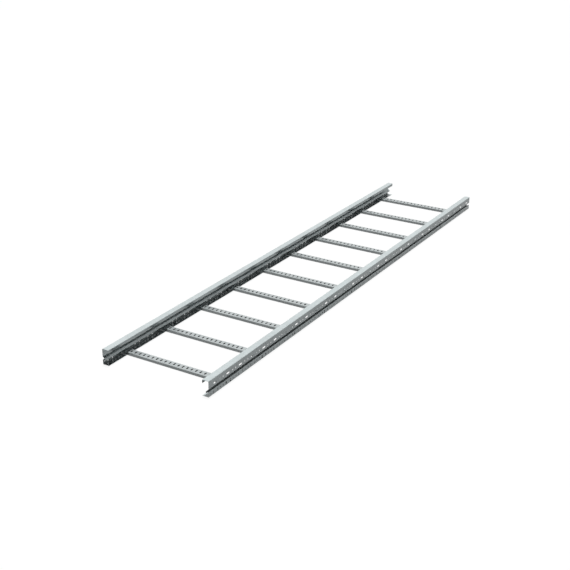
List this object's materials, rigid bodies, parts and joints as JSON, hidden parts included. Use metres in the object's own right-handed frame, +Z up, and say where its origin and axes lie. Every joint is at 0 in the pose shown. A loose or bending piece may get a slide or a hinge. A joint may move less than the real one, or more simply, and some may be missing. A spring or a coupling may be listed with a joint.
{
  "type": "cable ladder section",
  "caption": "Straight cable ladder section: folded and perforated side rails with a rolled-in groove, joined by punched channel rungs, galvanised steel.",
  "frame": {"origin": "middle of the underside, halfway between the rails and the two ends", "axes": "+X along the ladder, +Y across it to the left rail, +Z up"},
  "size_m": [3, 0.6, 0.08],
  "materials": {
    "rail_zinc": "galvanised sheet, light grey, satin with a faint spangle",
    "rung_zinc": "galvanised sheet, light grey, satin"
  },
  "bodies": {
    "root": {"side_rail_left": "rail_zinc", "side_rail_right": "rail_zinc", "rung_01": "rung_zinc", "rung_02": "rung_zinc", "rung_03": "rung_zinc", "rung_04": "rung_zinc", "rung_05": "rung_zinc", "rung_06": "rung_zinc", "rung_07": "rung_zinc", "rung_08": "rung_zinc", "rung_09": "rung_zinc", "rung_10": "rung_zinc"}
  },
  "joints": []
}
